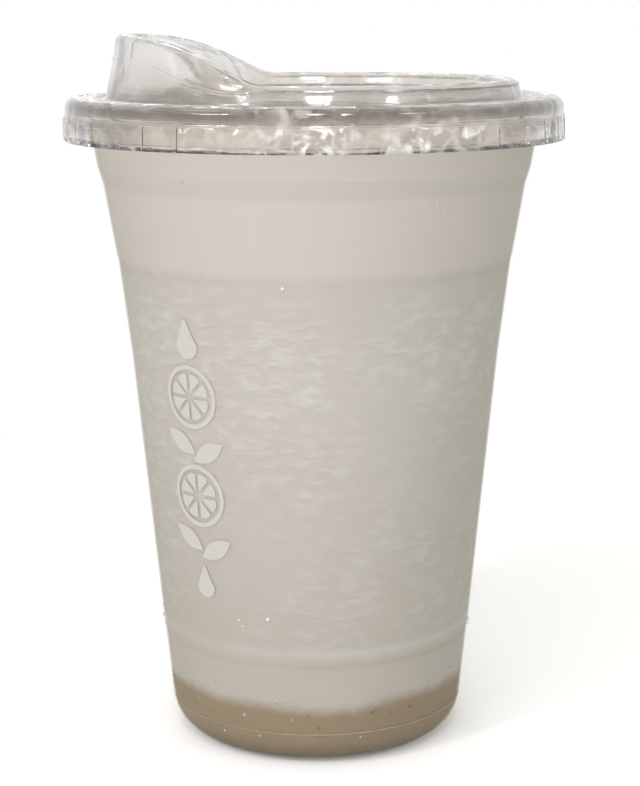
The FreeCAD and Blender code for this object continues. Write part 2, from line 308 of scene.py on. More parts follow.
# %% Spin an outline
def outline_mesh(corners, closed):
    """A bmesh of the outline (radius, height[, bend]) in the XZ plane, corners bent."""
    bm = bmesh.new()
    places = [Vector((corner[0], 0, corner[1])) for corner in corners]
    verts = [bm.verts.new(place) for place in places]
    pairs = list(zip(verts, verts[1:]))
    if closed:
        pairs.append((verts[-1], verts[0]))
    for pair in pairs:
        bm.edges.new(pair)
    for index, corner in enumerate(corners):
        if len(corner) == 2:
            continue
        before = places[index - 1] - places[index]
        after = places[(index + 1) % len(places)] - places[index]
        reach = corner[2] / math.tan(before.angle(after) / 2)
        bmesh.ops.bevel(bm, geom=[verts[index]], offset=reach, offset_type="OFFSET",
                        affect="VERTICES", segments=6, profile=0.5, material=-1)
    return bm


def spin_round(bm, steps):
    """Spins a bmesh through a full turn round the upright axis."""
    bmesh.ops.spin(bm, geom=bm.verts[:] + bm.edges[:], axis=(0, 0, 1), cent=(0, 0, 0),
                   angle=2 * math.pi, steps=steps, use_merge=True)


def spun(corners, closed=True, steps=192):
    """Spins an outline once round the Z axis, with its poles and seam merged."""
    bm = outline_mesh(corners, closed)
    spin_round(bm, steps)
    bmesh.ops.remove_doubles(bm, verts=bm.verts[:], dist=0.01 * MM)
    bmesh.ops.recalc_face_normals(bm, faces=bm.faces[:])
    return bm


def radius_at(line, height):
    """An outline's radius at a height, on its straight runs."""
    for low, high in zip(line, line[1:]):
        if low[1] <= height <= high[1]:
            share = (height - low[1]) / (high[1] - low[1])
            return low[0] + share * (high[0] - low[0])
    return line[-1][0]


print("outlines can be spun")


# %% Finish a piece
def finished_piece(name, bm, material, node=None):
    """Writes the bmesh to a smooth object that rides on the body."""
    piece = new_piece(name, bm, material)
    piece.data.shade_smooth()
    piece.data.set_sharp_from_angle(angle=math.radians(50))
    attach(piece, "root")
    if node:
        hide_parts(node)
    print(name, len(piece.data.polygons), "faces")
    return piece


print("pieces can be finished")

# %% [markdown]
# ## A crumpled sheet
#
# The lid is so thin that its skirt is dented and creased from handling. Wide
# soft waves and small cells of noise push the surface in and out. Pale painted
# highlights stand in for the glints on those dents: thin lines between cells
# and soft patches, in some areas more than in others. The waves run over the
# whole sheet, and the rest is strong on the skirt and weak above it, where the
# lid is stiffer.


# %% Dents and painted crease highlights
dent_depth = 0.9 * MM
wave_depth = 0.35 * MM
cell_drift = 6 * MM
# Heights of the band round the flange front that is tinted darker as a painted dark
# reflection.
dark_reflection_levels = (cup_height - 1.9 * MM, cup_height + 0.8 * MM)
spout_levels = (cup_height + 3.0 * MM, cup_height + 9.0 * MM)


def crumpled(tree, point, on_skirt):
    """The sheet's dented normals, and the share of painted highlight on its creases."""
    waves = noise_at(tree, point, 110.0, detail=1.0, distortion=0.5)
    drift = add_node(tree, "ShaderNodeVectorMath",
                     {0: waves.node.outputs["Color"], 1: (cell_drift,) * 3, 2: point},
                     operation="MULTIPLY_ADD").outputs[0]
    facets = add_node(tree, "ShaderNodeTexVoronoi",
                      {"Vector": drift, "Scale": 150.0, "Smoothness": 0.25},
                      feature="SMOOTH_F1").outputs["Distance"]
    dents = maths(tree, "MULTIPLY", facets, on_skirt)
    normal = relief(tree, dents, dent_depth, under=relief(tree, waves, wave_depth))

    # Painted highlights: pale lines between cells and soft patches stand in for glints on
    # the dents.
    folds = add_node(tree, "ShaderNodeTexVoronoi", {"Vector": drift, "Scale": 190.0},
                     feature="DISTANCE_TO_EDGE").outputs["Distance"]
    glint_line = ramp(tree, folds, 0.0, 0.10, 0.3, 0.0, "LINEAR")
    glint_blotch = ramp(tree, noise_at(tree, point, 260.0, distortion=0.6), 0.52, 0.70)
    glint_marks = maths(tree, "MAXIMUM", glint_line, glint_blotch)
    glinting_areas = ramp(tree, noise_at(tree, point, 36.0, detail=1.0),
                         0.40, 0.60, 0.12, 0.85)
    placed = maths(tree, "MULTIPLY", glint_marks, glinting_areas)
    return normal, maths(tree, "MULTIPLY", placed, on_skirt)


def sheet_tint(tree, point, height, on_skirt, tint):
    """The tint: mottled darker on the skirt and darker at the rim's band as painted dark
    reflections, pale at the spout.
    """
    # Painted dark reflections: noise mottles the skirt's tint darker.
    painted_reflection_mottle = ramp(tree, noise_at(tree, point, 150.0), 0.42, 0.62)
    skirt_painted_reflections = maths(tree, "MULTIPLY", painted_reflection_mottle, on_skirt)
    reflection_mottled_tint = blend(tree, skirt_painted_reflections, tint, darker(tint, 0.82))
    # Painted dark reflection: a band round the flange front and the skirt's top is tinted
    # darker.
    painted_rim_reflection = band_share(tree, height, *dark_reflection_levels, soft=0.7 * MM, top_soft=0.2 * MM)
    rim_reflection_tint = blend(tree, painted_rim_reflection, reflection_mottled_tint, darker(tint, 0.83))
    spout_share = ramp(tree, height, *spout_levels)
    return blend(tree, spout_share, rim_reflection_tint, (0.91, 0.9, 0.89))


print("crumpled sheet ready")

# %% [markdown]
# ## Clear plastic
#
# Formed drink cups are a glossy sheet under half a millimetre thick. A real
# refracting shader gives the bright and dark lines of its bends. Lamps have to
# reach what is behind the sheet, so rays on their way to a lamp pass straight
# through. A little tint adds up where many walls lie behind each other. The
# cup's wall lies flat on the drink and bends no light, so it is a simpler
# sheet that lets nearly everything through.


# %% Clear plastic
plastic_ior = 1.5
skirt_levels = (cup_height - 4.4 * MM, cup_height - 3.2 * MM)
crumple_above = 0.22


def clear_plastic(name, tint, roughness):
    """A refracting sheet that is crumpled low on the lid and lets lamps through."""
    material, tree = new_material(name)
    point = own_point(tree)
    height = height_of(tree, point)
    on_skirt = ramp(tree, height, *skirt_levels, 1.0, crumple_above, "LINEAR")
    normal, painted_glint_share = crumpled(tree, point, on_skirt)
    plastic = surface(tree, sheet_tint(tree, point, height, on_skirt, tint), roughness,
                      {"IOR": plastic_ior, "Transmission Weight": 1.0,
                       "Normal": normal})
    # A pale surface, mixed in where the creases carry painted highlights.
    painted_glint_surface = surface(tree, (0.93, 0.92, 0.91), 0.25, {"Normal": normal})
    sheet = mix_shaders(tree, painted_glint_share, plastic, painted_glint_surface)
    path = add_node(tree, "ShaderNodeLightPath")
    lets_light = maths(tree, "ADD", path.outputs["Is Shadow Ray"],
                       path.outputs["Is Diffuse Ray"], clamp=True)
    finish_tree(tree, mix_shaders(tree, lets_light, sheet,
                                  see_through(tree, (0.95, 0.94, 0.93))))
    return material


def thin_plastic(name, haze, edge_tint):
    """A sheet that lets nearly all through, with a light haze and a denser edge."""
    material, tree = new_material(name)
    facing = add_node(tree, "ShaderNodeLayerWeight", {"Blend": 0.35}).outputs["Facing"]
    clear = see_through(tree, blend(tree, facing, (0.985, 0.98, 0.97), edge_tint))
    mist = noise_at(tree, own_point(tree), 900.0)
    gloss = surface(tree, (0.62, 0.60, 0.56), 0.28,
                    {"IOR": plastic_ior, "Normal": relief(tree, mist, 0.03 * MM, 0.5)})
    finish_tree(tree, mix_shaders(tree, haze, clear, gloss))
    return material


cup_plastic = thin_plastic("cup plastic", 0.12, (0.82, 0.81, 0.77))
lid_plastic = clear_plastic("lid plastic", (0.84, 0.815, 0.79), 0.12)
rim_plastic = clear_plastic("rolled rim plastic", (0.74, 0.71, 0.68), 0.08)
# A painted dark line: the clear sheet's cut edge is an opaque grey, in place of the dark
# line its refraction gives.
edge_plastic, tree = new_material("cut edge of the plastic")
finish_tree(tree, surface(tree, (0.66, 0.64, 0.61), 0.35))
print("clear plastics made")

# %% [markdown]
# ## The cup
#
# The wall runs up from a pushed-up base through a small step at the heel, a
# faint bend, a wider band, the shoulder that keeps stacked cups apart, and a
# collar that ends in a rolled rim. The outside and the inside are one closed
# outline, a sheet's thickness apart.

# %% Cup sizes
wall = 0.45 * MM
foot_radius = 30.0 * MM
rim_radius = 49.0 * MM
mouth_radius = 45.9 * MM
roll_height = 3.1 * MM
roll_bend = 1.3 * MM
roll_lip = 0.8 * MM
shoulder_level = cup_height - 15.2 * MM
step_level = shoulder_level - 16.5 * MM
tight_bend, wide_bend = 1.6 * MM, 2.05 * MM
base_bend = 7.4 * MM
stand_width = 2.0 * MM
floor_thickness = 0.6 * MM
punt_height = 3.2 * MM
punt_bend = 1.4 * MM
punt_foot = foot_radius - base_bend - stand_width
punt_top = punt_foot - 2.6 * MM
print("step at", round(step_level / MM, 1), "shoulder at", round(shoulder_level / MM, 1))


# %% Cup outline
def wall_line(offset, lower_bend, upper_bend):
    """The wall from the ground to the roll, moved in by offset."""
    corners = [
        (foot_radius, 0.0),
        (32.25 * MM, 22.4 * MM),  # the heel's small step
        (32.45 * MM, 23.2 * MM),
        (37.95 * MM, step_level - 20.5 * MM),  # the faint bend
        (40.35 * MM, step_level - 1.0 * MM),  # the step out to the wider band
        (40.8 * MM, step_level + 1.0 * MM),
        (43.1 * MM, shoulder_level - 1.8 * MM, lower_bend),  # the shoulder
        (44.2 * MM, shoulder_level + 1.8 * MM, upper_bend),
        (mouth_radius, cup_height - roll_height),
    ]
    return [(corner[0] - offset, *corner[1:]) for corner in corners]


def inside_line(gap):
    """The inner surface from the middle of the base up to the roll."""
    inner = wall_line(wall + gap, wide_bend, tight_bend)
    lift = floor_thickness + gap
    inner[0] = (inner[0][0], lift, base_bend - wall)
    return [
        (0, punt_height + lift),
        (punt_top, punt_height + lift, punt_bend),
        (punt_foot + wall, lift, punt_bend),
    ] + inner


outside = wall_line(0, tight_bend, wide_bend)
outside[0] = (foot_radius, 0, base_bend)
underside = [(0, punt_height), (punt_top, punt_height, punt_bend),
             (punt_foot, 0, punt_bend)]
roll = [
    (mouth_radius, cup_height - wall, roll_bend - wall),
    (rim_radius - wall, cup_height - wall, roll_bend - wall),
    (rim_radius - wall, cup_height - roll_height + wall, roll_bend - wall),
    (mouth_radius + roll_lip, cup_height - roll_height + wall),
    (mouth_radius + roll_lip, cup_height - roll_height),
    (rim_radius, cup_height - roll_height, roll_bend),
    (rim_radius, cup_height, roll_bend),
    (mouth_radius - wall, cup_height, roll_bend),
]
cup_outline = underside + outside + roll + list(reversed(inside_line(0)))
print("cup outline:", len(cup_outline), "corners")

# %% Turn the cup
cup = finished_piece("cup_shell", spun(cup_outline, steps=256), cup_plastic,
                     "cup")
cup.data.materials.append(rim_plastic)
for face in cup.data.polygons:
    if face.center.z > cup_height - roll_height - 0.05 * MM:
        face.material_index = 1
print("roll:", sum(face.material_index for face in cup.data.polygons), "faces")

# %% [markdown]
# ## Slush and syrup finishes
#
# Crushed ice packed against the plastic is pale and nearly matte, with faint
# lighter flecks that lie flat, a few millimetres long. Noise stretched along
# the ground draws them. The wider band holds a creamier froth, and each bend
# of the wall shows as a pale painted highlight line or a dark painted shade
# line. The melt below is tan, and one soft, uneven edge between the two is
# worked out from height in both finishes.

# %% Drink colours
slush_colour = (0.665, 0.642, 0.615)
slush_light = (0.745, 0.735, 0.715)
slush_dark = (0.62, 0.59, 0.56)
froth_colour = (0.75, 0.705, 0.685)
syrup_colour = (0.33, 0.25, 0.15)
syrup_level = slush_low.z
print("syrup up to", round(syrup_level / MM, 1), "mm")


# %% The edge of the melt
melt_drift = 4.6 * MM
melt_swell = 0.5 * MM
melt_lobes = 4.0
melt_levels = (syrup_level + 0.5 * MM, syrup_level + 4.3 * MM)


def melt_share(tree, point, height):
    """0 in the slush, 1 in the syrup, with a soft uneven edge near the syrup's level."""
    drift = noise_at(tree, point, 75.0, detail=8.0, roughness=0.7)
    drifted = maths(tree, "MULTIPLY_ADD", drift, melt_drift, height)
    place = add_node(tree, "ShaderNodeSeparateXYZ", {"Vector": point})
    turn = maths(tree, "ARCTAN2", place.outputs["X"], place.outputs["Y"])
    swell = maths(tree, "COSINE", maths(tree, "MULTIPLY", turn, melt_lobes))
    banked = maths(tree, "MULTIPLY_ADD", swell, melt_swell, drifted)
    return ramp(tree, banked, *melt_levels, 1.0, 0.0)


print("melt edge ready")


# %% Ice and bends
icy_levels = (26 * MM, 97 * MM)
icy_softness = 8 * MM
fleck_everywhere, fleck_in_patches = 0.12, 0.6


def crushed_ice(tree, point, height):
    """The ice's colour, its flecks, how strong they are, and its uneven patches."""
    flat_point = add_node(tree, "ShaderNodeMapping",
                          {"Vector": point, "Scale": (250, 250, 600)}).outputs[0]
    flecks = noise_at(tree, flat_point, 1.0, distortion=0.35)
    clouds = blend(tree, noise_at(tree, point, 42.0), slush_dark, slush_colour)
    patches = ramp(tree, noise_at(tree, point, 26.0), 0.34, 0.52)
    zone = band_share(tree, height, *icy_levels, icy_softness)
    packed = maths(tree, "MULTIPLY", zone, patches)
    strength = maths(tree, "MULTIPLY_ADD", packed, fleck_in_patches, fleck_everywhere)
    share = maths(tree, "MULTIPLY", ramp(tree, flecks, 0.47, 0.70, curve="LINEAR"),
                  strength)
    return blend(tree, share, clouds, slush_light), flecks, strength, patches


# Painted light at the wall's bends: the pale lines are painted highlights, the dark ones
# painted shade.
painted_wall_light = [  # low, high, softness, strength, colour
    (23.9 * MM, 25.6 * MM, 0.8 * MM, 0.55, slush_light),
    (21.4 * MM, 22.6 * MM, 0.6 * MM, 0.16, syrup_colour),
    (step_level - 1.9 * MM, step_level - 0.5 * MM, 0.6 * MM, 0.07, syrup_colour),
    (shoulder_level + 0.5 * MM, shoulder_level + 1.6 * MM, 0.8 * MM, 0.5, slush_light),
]


def paint_light_at_bends(tree, height, patches, colour):
    """The colour with a painted highlight or painted shade line at each bend: three
    tenths steady, the rest patchy.
    """
    for low, high, soft, most, painted_light_colour in painted_wall_light:
        band = band_share(tree, height, low, high, soft)
        uneven = maths(tree, "MULTIPLY", band, patches)
        patchy = maths(tree, "MULTIPLY", uneven, most * 0.7)
        share = maths(tree, "MULTIPLY_ADD", band, most * 0.3, patchy)
        colour = blend(tree, share, colour, painted_light_colour)
    return colour


print("ice ready,", len(painted_wall_light), "bends")


# %% Drink finishes
froth_softness = 1.2 * MM
froth_most = 0.7
bottom_shade_levels = (14 * MM, 75 * MM)
bottom_shade_most = 0.15
fleck_relief = 0.3 * MM


def drink_material(name):
    material, tree = new_material(name)
    point = own_point(tree)
    height = height_of(tree, point)
    ice, flecks, strength, patches = crushed_ice(tree, point, height)
    froth = band_share(tree, height, step_level, cup_height, froth_softness)
    frothed = blend(tree, maths(tree, "MULTIPLY", froth, froth_most), ice, froth_colour)
    # Painted shade: the slush grows darker towards the bottom, with the syrup's colour
    # blended in.
    bottom_shade = ramp(tree, height, *bottom_shade_levels, bottom_shade_most, 0.0, "LINEAR")
    bottom_shaded = blend(tree, bottom_shade, frothed, syrup_colour)
    lined = paint_light_at_bends(tree, height, patches, bottom_shaded)
    colour = blend(tree, melt_share(tree, point, height), lined, syrup_colour)
    normal = relief(tree, maths(tree, "MULTIPLY", flecks, strength), fleck_relief)
    finish_tree(tree, surface(tree, colour, 0.55,
                              {"Specular IOR Level": 0.2, "Normal": normal}))
    return material


slush_finish = drink_material("slush")
syrup_finish = drink_material("melted syrup")
print("drink finishes made")

# %% [markdown]
# ## The drink
#
# Both layers are spun from the cup's inner line, and reach a fifth of a
# millimetre into the wall so that no air shows between. The slush has a
# level middle that falls gently to the wall.

# %% Slush and syrup
into_wall = -0.2 * MM
fill_level = cup_height - 8.4 * MM
crown = slush_high.z
crown_radius, crown_bend = 24 * MM, 60 * MM
inner_line = inside_line(into_wall)
melt_radius = radius_at(inner_line, syrup_level)
above = [corner for corner in inner_line[3:] if syrup_level < corner[1] < fill_level]
slush_outline = (
    [(0, syrup_level), (melt_radius, syrup_level)]
    + above
    + [(radius_at(inner_line, fill_level), fill_level),
       (crown_radius, crown, crown_bend), (0, crown)])
finished_piece("slush_fill", spun(slush_outline), slush_finish, "slush")

syrup_outline = inner_line[:4] + [(melt_radius, syrup_level), (0, syrup_level)]
finished_piece("syrup_fill", spun(syrup_outline), syrup_finish, "syrup")

# %% [markdown]
# ## Printed motifs
#
# Cups like this carry a pale print up one side. Here it is a plain column of
# citrus slices, leaves and drops. Each shape is cut out flat, sliced into
# upright strips so that it can bend, and then wrapped round the cup a few
# hundredths of a millimetre outside the wall.


# %% Flat shapes
def flat_circle(bm, centre, radius, segments=48, filled=True):
    """A round face, or only its edge, in the XZ plane."""
    verts = bmesh.ops.create_circle(bm, cap_ends=filled, radius=radius,
                                    segments=segments)["verts"]
    bmesh.ops.rotate(bm, verts=verts, cent=(0, 0, 0),
                     matrix=Euler((math.radians(90), 0, 0)).to_matrix())
    bmesh.ops.translate(bm, verts=verts, vec=(centre[0], 0, centre[1]))
    return verts


def leaf(bm, centre, angle, length=8.4 * MM, width=3.6 * MM):
    """A leaf: a round face pinched to a point at both ends."""
    verts = flat_circle(bm, (0, 0), 1.0)
    for vert in verts:
        pinch = 1 - vert.co.x ** 2
        vert.co = (vert.co.x * length / 2, 0, math.copysign(pinch, vert.co.z) * width / 2)
    bmesh.ops.rotate(bm, verts=verts, cent=(0, 0, 0),
                     matrix=Euler((0, math.radians(angle), 0)).to_matrix())
    bmesh.ops.translate(bm, verts=verts, vec=(centre[0], 0, centre[1]))


def drop(bm, centre, radius):
    """A drop: a round face drawn up to a point."""
    verts = flat_circle(bm, (0, 0), radius)
    for vert in verts:
        if vert.co.z > 0:
            share = vert.co.z / radius
            vert.co = (vert.co.x * (1 - 0.55 * share), 0, vert.co.z * (1 + 0.9 * share))
    bmesh.ops.translate(bm, verts=verts, vec=(centre[0], 0, centre[1]))


def citrus(bm, centre, radius=6.4 * MM, wedges=8):
    """A slice: a rind ring and wedges with rounded corners."""
    rind = []
    for reach in (radius, radius * 0.86):
        verts = flat_circle(bm, centre, reach, segments=64, filled=False)
        rind += {edge for vert in verts for edge in vert.link_edges}
    bmesh.ops.bridge_loops(bm, edges=rind)
    near, far, half = radius * 0.16, radius * 0.72, math.radians(18)
    corners = [(near, 0), (far, -half), (far * 1.04, 0), (far, half)]
    for number in range(wedges):
        middle = 2 * math.pi * (number + 0.5) / wedges
        wedge = [bm.verts.new((centre[0] + r * math.cos(middle + a), 0,
                               centre[1] + r * math.sin(middle + a))) for r, a in corners]
        bm.faces.new(wedge)
        bmesh.ops.bevel(bm, geom=[wedge[1], wedge[3]], offset=radius * 0.07,
                        offset_type="OFFSET", affect="VERTICES", segments=3, profile=0.5,
                        material=-1)


ink = bmesh.new()
drop(ink, (0.4 * MM, 86.6 * MM), 2.7 * MM)
for slice_level, leaf_level in ((76.2, 66.8), (56.0, 46.8)):
    citrus(ink, (0, slice_level * MM))
    leaf(ink, (-3.5 * MM, leaf_level * MM), 30)
    leaf(ink, (3.5 * MM, (leaf_level - 1.6) * MM), -30)
drop(ink, (0, 37.0 * MM), 2.3 * MM)
print("flat motifs:", len(ink.faces), "faces")

# %% Wrap the motifs round the cup
print_turn = math.radians(-40.5)
ink_lift = 0.02 * MM
strip_width = 0.4 * MM
for cut in range(-20, 21):
    everything = ink.verts[:] + ink.edges[:] + ink.faces[:]
    bmesh.ops.bisect_plane(ink, geom=everything, dist=1e-7,
                           plane_co=(cut * strip_width, 0, 0), plane_no=(1, 0, 0))
bmesh.ops.triangulate(ink, faces=[f for f in ink.faces if len(f.verts) > 4])
for vert in ink.verts:
    radius = radius_at(outside, vert.co.z) + ink_lift
    turn = print_turn + vert.co.x / radius
    vert.co = (radius * math.sin(turn), -radius * math.cos(turn), vert.co.z)
bmesh.ops.recalc_face_normals(ink, faces=ink.faces[:])
outwardness = sum(face.normal.xy.dot(face.calc_center_median().xy) for face in ink.faces)
if outwardness < 0:
    bmesh.ops.reverse_faces(ink, faces=ink.faces[:])
print("wrapped motifs:", len(ink.faces), "faces")


# %% Pale ink
def grained_material(name, scale, first, second, roughness, others=None):
    """A finish that varies between two near tones from grain to grain."""
    material, tree = new_material(name)
    tone = blend(tree, noise_at(tree, own_point(tree), scale), first, second)
    finish_tree(tree, surface(tree, tone, roughness, others))
    return material


ink_finish = grained_material("pale ink", 2500.0, (0.60, 0.57, 0.55), (0.66, 0.63, 0.61),
                              0.6, {"Specular IOR Level": 0.2})
motifs = finished_piece("citrus_print", ink, ink_finish)
motifs.data.shade_flat()
motifs.visible_shadow = False
layer = motifs.modifiers.new("ink layer", "SOLIDIFY")
layer.thickness = 0.03 * MM
layer.offset = 1

# %% [markdown]
# ## Highlight ring, bubbles and drops
#
# Small things make the cup read as real: a fine raised ring above the foot,
# whose pale tan is a painted highlight on the top of the base's bend, air
# bubbles and dark crumbs of ice held against the wall in the syrup, a few
# near-white specks higher up that are painted glints, and drops of water on
# the outside. The ring is thin and comes and goes. The rest are small balls
# pressed flat, some placed and some scattered at random.

# %% Highlight ring
line_level = 7.3 * MM
line_radius = radius_at(outside, line_level) - 0.03 * MM
line_half = 0.2 * MM
# Painted highlight: the ring's pale tan, which comes and goes, stands in for light on the
# top of the base's bend.
highlight_ring_finish, tree = new_material("painted highlight ring")
line_share = ramp(tree, noise_at(tree, own_point(tree), 90.0), 0.35, 0.65, 0.1, 0.55,
                  "LINEAR")
finish_tree(tree, mix_shaders(tree, line_share, see_through(tree, white),
                              surface(tree, (0.5, 0.43, 0.31), 0.5)))
line_outline = [
    (line_radius, line_level - line_half), (line_radius + 0.06 * MM, line_level),
    (line_radius, line_level + line_half), (line_radius - 0.05 * MM, line_level)]
finished_piece("highlight_ring", spun(line_outline, steps=128), highlight_ring_finish)


# %% Beads on the wall
def beads(name, places, material, sink):
    """Small balls on the cup's wall: (turn in degrees, height, radius, flattening)."""
    bm = bmesh.new()
    for degrees, height, radius, flat in places:
        turn = math.radians(degrees)
        verts = bmesh.ops.create_icosphere(bm, subdivisions=3,
                                           radius=radius * MM)["verts"]
        bmesh.ops.scale(bm, verts=verts, vec=(1, flat, 1))
        bmesh.ops.rotate(bm, verts=verts, cent=(0, 0, 0),
                         matrix=Euler((0, 0, turn)).to_matrix())
        reach = radius_at(outside, height * MM) + sink
        bmesh.ops.translate(bm, verts=verts, vec=(reach * math.sin(turn),
                                                  -reach * math.cos(turn), height * MM))
    return finished_piece(name, bm, material)


scatter = random.Random(11)


def scattered(count, turns, heights, radii, flat):
    """Random places for beads, each value drawn between two bounds."""
    return [(scatter.uniform(*turns), scatter.uniform(*heights), scatter.uniform(*radii),
             flat) for bead in range(count)]


def speck_material(name, colour, roughness):
    return grained_material(name, 1500.0, colour, darker(colour, 0.7), roughness)


print("beads ready")

# %% Bubbles, glints and crumbs
bubble_places = [(-28, 10.4, 0.36, 0.6), (-9, 10.4, 0.26, 0.6), (-22, 6.3, 0.28, 0.6),
                 (-38, 5.8, 0.26, 0.6), (17, 6.3, 0.26, 0.6), (-15, 14.1, 0.34, 0.5),
                 (-13, 14.0, 0.26, 0.5), (-9.6, 13.4, 0.2, 0.5)]
bubble_places += scattered(46, (50, 320), (6.5, 16.5), (0.14, 0.3), 0.55)
bubble_places += scattered(22, (-60, 60), (6.5, 15.5), (0.08, 0.16), 0.55)
# Painted glints: near-white specks that stand in for bright spots of light on the wall.
glint_places = [(-27.5, 31.1, 0.3, 0.5), (-26, 29.8, 0.22, 0.5), (-8.5, 98.9, 0.38, 0.5),
                (-16.6, 31.9, 0.42, 0.5)]
crumb_places = [(1, 8.8, 0.3, 0.5), (21.5, 11.45, 0.38, 0.5), (23, 11.9, 0.26, 0.5),
                (29, 10.6, 0.22, 0.5), (38, 11.0, 0.34, 0.5), (-3, 11.2, 0.2, 0.5)]
crumb_places += scattered(14, (60, 300), (7, 12.5), (0.15, 0.35), 0.5)
beads("bubbles", bubble_places, speck_material("bubble", (0.62, 0.57, 0.47), 0.15),
      -0.18 * MM)
beads("ice_glints", glint_places, speck_material("ice glint", (0.95, 0.93, 0.9), 0.1),
      -0.12 * MM)
beads("crumbs", crumb_places, speck_material("dark crumb", (0.2, 0.17, 0.11), 0.5),
      -0.2 * MM)

# %% Water drops
drop_places = [(88, 21.9, 1.0, 0.45), (-84, 24.2, 0.55, 0.45), (-81, 22.6, 0.45, 0.45),
               (-86, 26.0, 0.35, 0.45), (20, 113.5, 0.4, 0.4), (33, 114.2, 0.5, 0.4),
               (35.5, 113.0, 0.3, 0.4), (19, 115.2, 0.3, 0.4), (-34, 118.6, 0.3, 0.4)]
drop_places += scattered(16, (100, 260), (18, 110), (0.3, 0.8), 0.4)
water, tree = new_material("water drop")
path = add_node(tree, "ShaderNodeLightPath")
liquid = surface(tree, (0.93, 0.92, 0.9), 0.04, {"IOR": 1.33, "Transmission Weight": 1.0})
finish_tree(tree, mix_shaders(tree, path.outputs["Is Shadow Ray"], liquid,
                              see_through(tree, (0.96, 0.96, 0.95))))
beads("water_drops", drop_places, water, 0.0)

# %% [markdown]
# ## The sip lid
#
# The lid's section is the same all round apart from the spout, where the
# raised ring climbs. So one outline is spun, and then each ring of vertices is
# moved to the height and radius that the spout has at that angle. The section
# is worked out in millimetres, and a few curves make all of its bends.

# %% Lid sizes, in millimetres
lid_sheet = 0.22
flange_level = cup_height / MM + 0.55
skirt_radius = rim_radius / MM + 1.5
edge_radius = skirt_radius + 0.4
ring_radius = 42.25
ring_height = 3.3
ring_bend = 1.25
ring_draft = 0.65
bead_width = 2.05
climb_start, climb_stop, climb_knee = 11.3, 42.0, 0.1
crease_start, crease_stop, crease_rise = 16, 37, 5.5
spout_rise, spout_draft, spout_bend = 9.0, 1.05, 0.35
shelf_drop, spout_shelf_drop = 1.1, 0.5
shelf_run, ramp_run = 8.0, 14.5
ridge_start, ridge_stop, ridge_size = 8, 18, 0.22
fold_turn, fold_width, fold_size = 30.5, 1.6, 0.3
gusset_low, gusset_high = flange_level + 0.25, flange_level + 7.65
gusset_front, gusset_back = 9.5, 12.0
gusset_depth = 0.85
print("flange at", round(flange_level, 2), "mm, skirt to", edge_radius, "mm")


# %% Curves for the section
def eased(start, stop, place):
    """0 before start, 1 after stop, and a half cosine wave between them."""
    share = min(max((place - start) / (stop - start), 0), 1)
    return (1 - math.cos(math.pi * share)) / 2


def climbing(start, stop, knee, place):
    """0 before start and 1 after stop: a quarter sine wave from a soft knee."""
    share = (place - start) / (stop - start)
    if abs(share) < knee:
        share = (share + knee) ** 2 / (4 * knee)
    return math.sin(math.pi / 2 * min(max(share, 0), 1))


def between(start, stop, share):
    return tuple((1 - share) * a + share * b for a, b in zip(start, stop))


def arc(start, corner, stop, count):
    """Points of a smooth bend from start to stop that leans towards the corner."""
    shares = [step / count for step in range(count + 1)]
    return [between(between(start, corner, share), between(corner, stop, share), share)
            for share in shares]


def from_spout(turn):
    """Degrees from the middle of the spout, to either side."""
    return abs(math.degrees(math.atan2(math.sin(turn), math.cos(turn))))


def gusset(turn, height):
    """How far the three-cornered fold under the spout's side edge is pushed in."""
    share = (gusset_high - height) / (gusset_high - gusset_low)
    low, high = fold_turn - gusset_front * share, fold_turn + gusset_back * share
    side = from_spout(turn)
    if not low < side < high:
        return 0.0
    along = ((side - low) / (fold_turn - low) if side < fold_turn
             else (high - side) / (high - fold_turn))
    return gusset_depth * share * along


print("curves ready")

# %% [markdown]
# ## The lid's section
#
# From outside in: the skirt that grips the roll, the flange with two shallow
# grooves, and the foot of the raised ring, which are the same all round. Then
# come the ring's wall, its crease, the bead on top, the ledge and the ramp
# down to the deck, which all change as the ring climbs into the spout.


# %% Skirt and flange
def flange_line():
    """(radius, height) from the skirt's edge in to the ring's foot."""
    top, edge, skirt, foot = flange_level, edge_radius, skirt_radius, ring_radius
    points = [(edge, top - 8.5), (edge - 0.06, top - 7.2),
              (edge - 0.12, top - 5.8), (edge - 0.16, top - 4.4)]
    bends = [
        # the skirt turns in under the flange, and out over its edge
        ((edge - 0.2, top - 3.9), (edge - 0.22, top - 3.5), (skirt - 0.05, top - 3.3), 3),
        ((skirt, top - 2.6), (skirt, top), (skirt - 2.6, top), 8),
        # the first groove and the flat beside it
        ((skirt - 2.8, top - 0.02), (skirt - 3.2, top - 0.35),
         (skirt - 3.6, top - 0.02), 4),
        ((skirt - 3.9, top + 0.02), (skirt - 4.4, top), (skirt - 4.9, top - 0.1), 3),
        # a low rise, the second groove and the foot of the ring
        ((foot + 2.6, top - 0.2), (foot + 2.1, top + 0.25), (foot + 1.7, top - 0.3), 4),
        ((foot + 1.6, top - 0.36), (foot + 1.0, top - 0.4), (foot + 0.5, top - 0.4), 3),
        ((foot + 0.3, top - 0.38), (foot, top - 0.35), (foot - 0.05, top + 0.1), 3),
    ]
    for bend in bends:
        points += arc(*bend)
    return points


print("skirt and flange:", len(flange_line()), "points")


